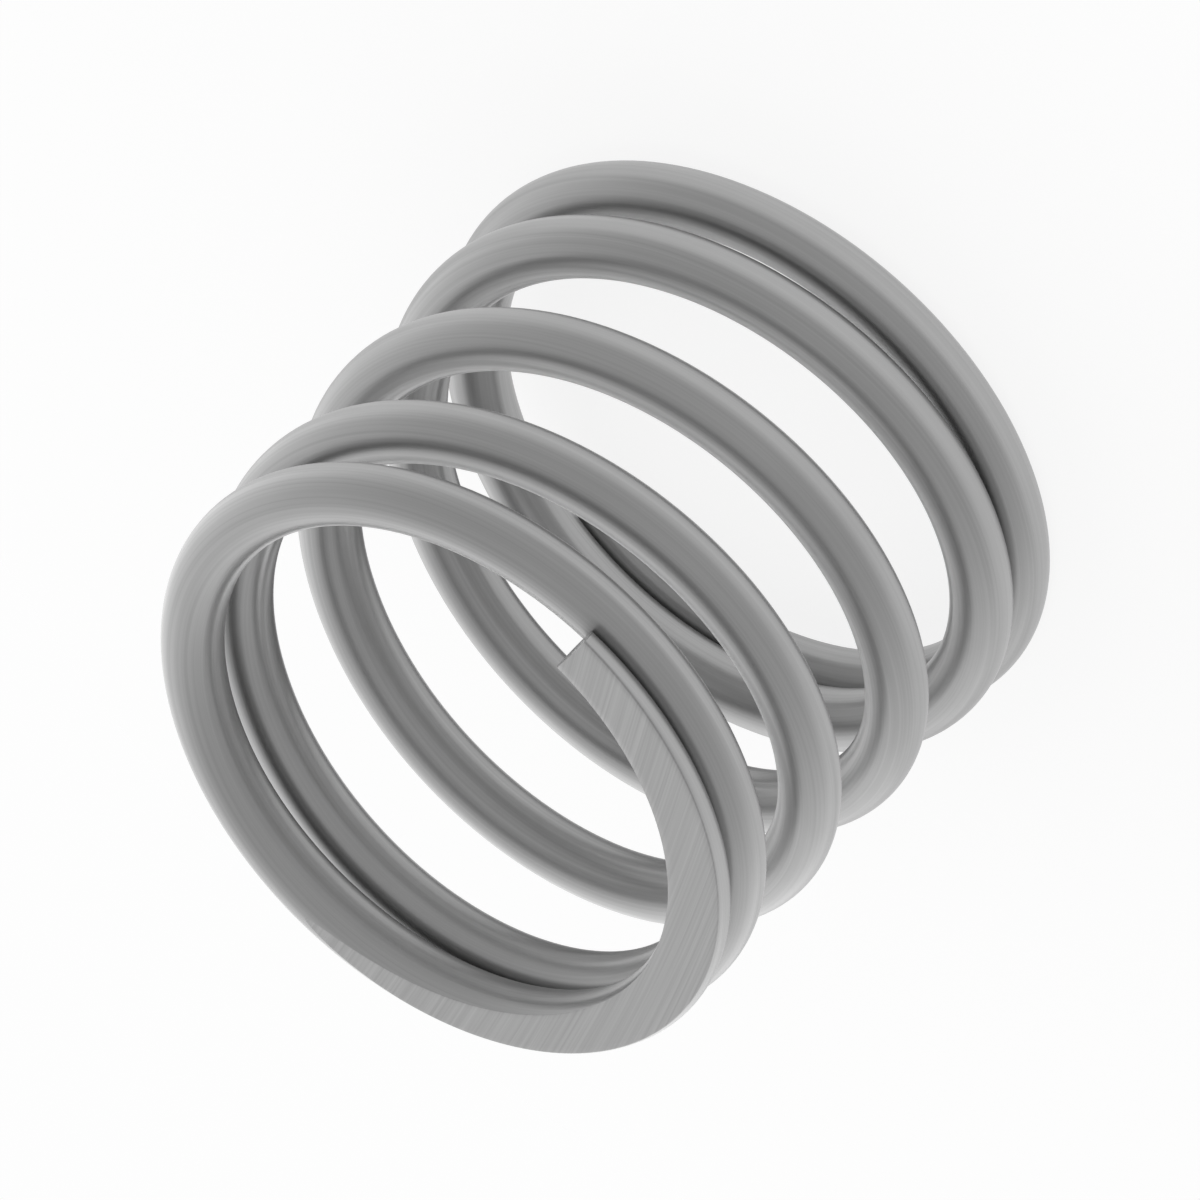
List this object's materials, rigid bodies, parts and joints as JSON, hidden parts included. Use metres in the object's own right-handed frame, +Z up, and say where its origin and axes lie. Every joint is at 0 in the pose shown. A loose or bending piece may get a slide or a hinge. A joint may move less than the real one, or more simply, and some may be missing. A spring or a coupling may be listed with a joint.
{
  "type": "compression spring",
  "caption": "Cylindrical compression spring of round steel wire, wound right-hand, with closed ends ground flat.",
  "frame": {"origin": "on the spring's axis, in the plane of the bottom ground face", "axes": "+Z up along the axis to the top ground face, +X from the axis through the wire's bottom tip, +Y completes the right-handed frame"},
  "size_m": [0.027, 0.027, 0.024],
  "materials": {
    "spring_steel_wire": "satin drawn spring wire, with finely ground end faces"
  },
  "bodies": {
    "root": {"compression_spring": "spring_steel_wire"}
  },
  "joints": []
}
